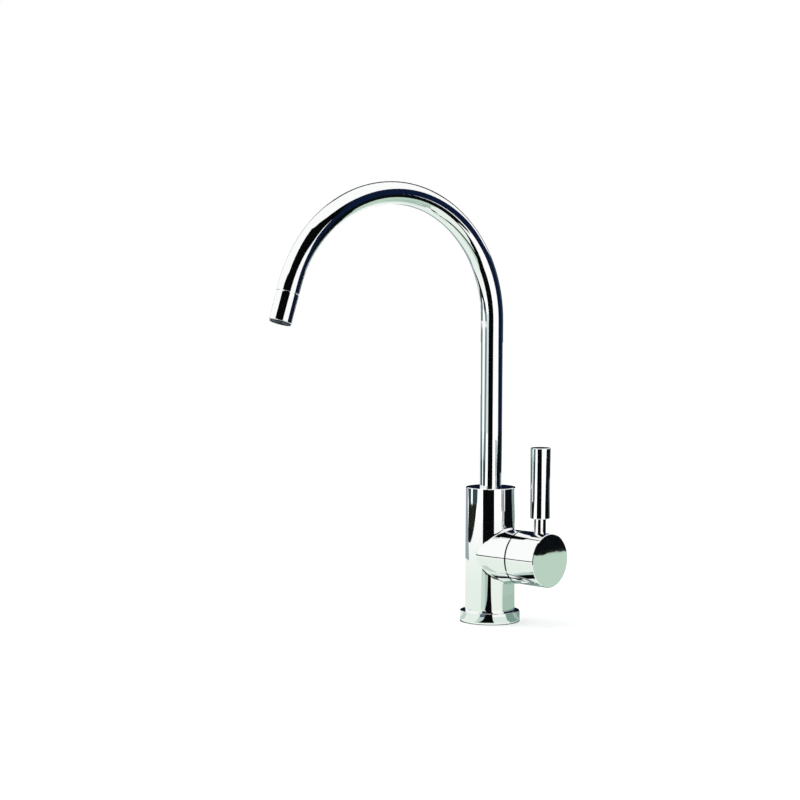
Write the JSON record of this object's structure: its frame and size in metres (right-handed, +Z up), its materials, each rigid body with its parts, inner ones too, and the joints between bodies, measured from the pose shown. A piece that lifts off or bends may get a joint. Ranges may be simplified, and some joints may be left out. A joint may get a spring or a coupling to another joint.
{
  "type": "three way filtered water tap",
  "caption": "Swan neck kitchen tap with a side lever for hot, cold and filtered water, a swivel spout with a separate inner tube for filtered water, and a ceramic disc cartridge.",
  "frame": {"origin": "centre of the base ring's underside, on the worktop, on the axis that the spout swivels about", "axes": "+Z up along the body; +X along the side boss towards the lever's cap; the spout reaches over the sink towards -Y, swivelled about 9 degrees towards -X at rest"},
  "size_m": [0.1172, 0.2647, 0.3955],
  "materials": {
    "polished_chrome": "mirror polished chrome plate on brass",
    "bare_brass": "turned",
    "stainless_steel": "turned and woven",
    "acetal_plastic": "moulded, satin",
    "black_acetal": "moulded, satin",
    "aerator_plastic": "moulded, satin",
    "seal_rubber": "moulded, matte",
    "alumina_ceramic": "lapped",
    "polyethylene_tube": "extruded"
  },
  "bodies": {
    "body": {"tap_body": "polished_chrome", "base_ring": "polished_chrome", "deck_gasket": "seal_rubber", "spout_grub_screw": "stainless_steel", "spout_glide_bush": "acetal_plastic", "thrust_washer": "acetal_plastic", "cartridge_base": "acetal_plastic", "base_seals": "seal_rubber", "disc_seals": "seal_rubber", "fixed_ceramic_disc": "alumina_ceramic", "cartridge_housing": "acetal_plastic", "cartridge_nut": "bare_brass", "cartridge_shroud": "black_acetal"},
    "spout": {"spout_tube": "polished_chrome", "spout_spigot": "bare_brass", "spout_o_rings": "seal_rubber", "filtered_water_tube": "polyethylene_tube", "filtered_tube_o_ring": "seal_rubber", "spout_end_bush": "bare_brass", "nozzle_seal": "seal_rubber", "nozzle_sleeve": "polished_chrome", "aerator_cage": "aerator_plastic", "aerator_screens": "stainless_steel", "filtered_outlet_core": "aerator_plastic"},
    "turning_guide": {"spindle_guide": "acetal_plastic", "spindle_pin": "stainless_steel"},
    "lever": {"lever_spindle": "stainless_steel", "lever_cap": "polished_chrome", "lever_stem": "polished_chrome", "lever_grip": "polished_chrome"},
    "sliding_disc": {"moving_ceramic_disc": "alumina_ceramic", "disc_carrier": "acetal_plastic"}
  },
  "joints": [
    {"name": "spout_swivel", "type": "hinge", "parent": "body", "child": "spout", "pos_m": [0, 0, 0.1], "axis": [0, 0, 1], "continuous": true},
    {"name": "lever_turn", "type": "hinge", "parent": "body", "child": "turning_guide", "pos_m": [0.045, 0, 0.062], "axis": [1, 0, 0], "range_deg": [-45, 90]},
    {"name": "lever_tilt", "type": "hinge", "parent": "turning_guide", "child": "lever", "pos_m": [0.045, 0, 0.062], "axis": [0, 1, 0], "range_deg": [0, 20]},
    {"name": "disc_slide", "type": "slide", "parent": "turning_guide", "child": "sliding_disc", "axis": [0, 0, 1], "range_m": [0, 0.0036]}
  ],
  "couplings": [
    {"joint": "disc_slide", "follows": "lever_tilt", "m_per_rad": 0.01019}
  ]
}
